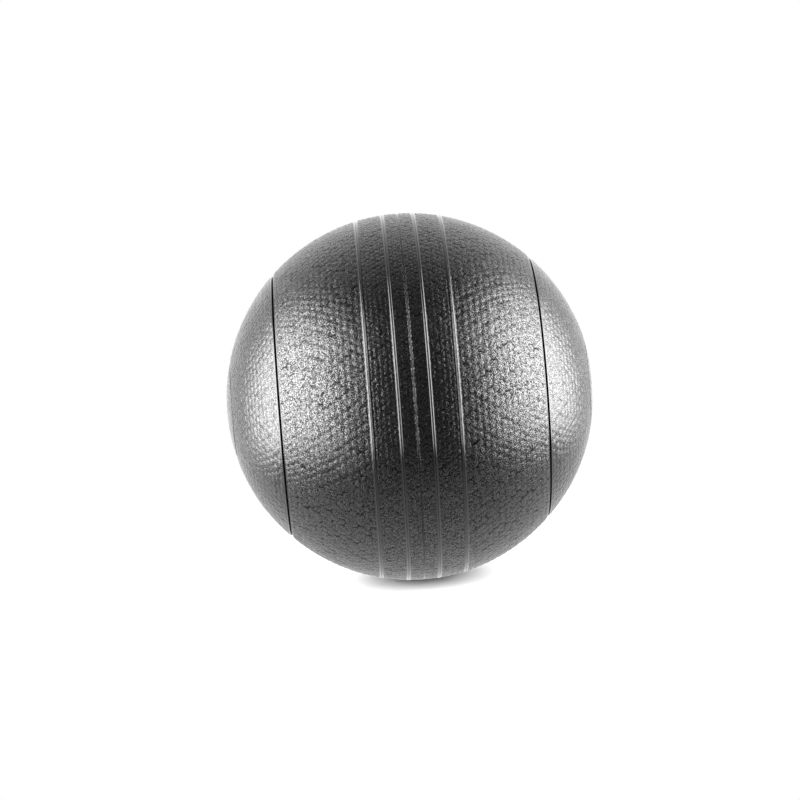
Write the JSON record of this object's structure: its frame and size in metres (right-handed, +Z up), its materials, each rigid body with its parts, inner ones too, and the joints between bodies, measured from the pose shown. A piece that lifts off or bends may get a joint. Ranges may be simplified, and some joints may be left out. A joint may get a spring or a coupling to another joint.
{
  "type": "medicine ball",
  "caption": "Black pebbled rubber medicine ball with ribs and slots round its pole axis, a layered weighted wall, an air bladder and a needle valve.",
  "frame": {"origin": "on the floor under the ball's centre, in the middle of the flat patch that it stands on", "axes": "+Z up; +X along the pole axis, towards the valve; +Y to the back"},
  "size_m": [0.2288, 0.2304, 0.2293],
  "materials": {
    "moulded_rubber": "semi-gloss moulded rubber with a pebble grain",
    "filled_rubber": "matt heavy filled rubber",
    "nylon_cord": "wound cord in rubber cement",
    "butyl_rubber": "smooth",
    "patch_rubber": "matt",
    "valve_rubber": "smooth",
    "gum_rubber": "smooth"
  },
  "bodies": {
    "root": {"cover_band_left": "moulded_rubber", "cover_band_right": "moulded_rubber", "cover_shoulder_left": "moulded_rubber", "cover_shoulder_right": "moulded_rubber", "pole_cap_left": "moulded_rubber", "pole_cap_right": "moulded_rubber", "seam_strip": "moulded_rubber", "weight_shell_left": "filled_rubber", "weight_shell_right": "filled_rubber", "cord_winding": "nylon_cord", "bladder": "butyl_rubber", "valve_patch": "patch_rubber", "valve_body": "valve_rubber", "valve_core": "gum_rubber"}
  },
  "joints": []
}
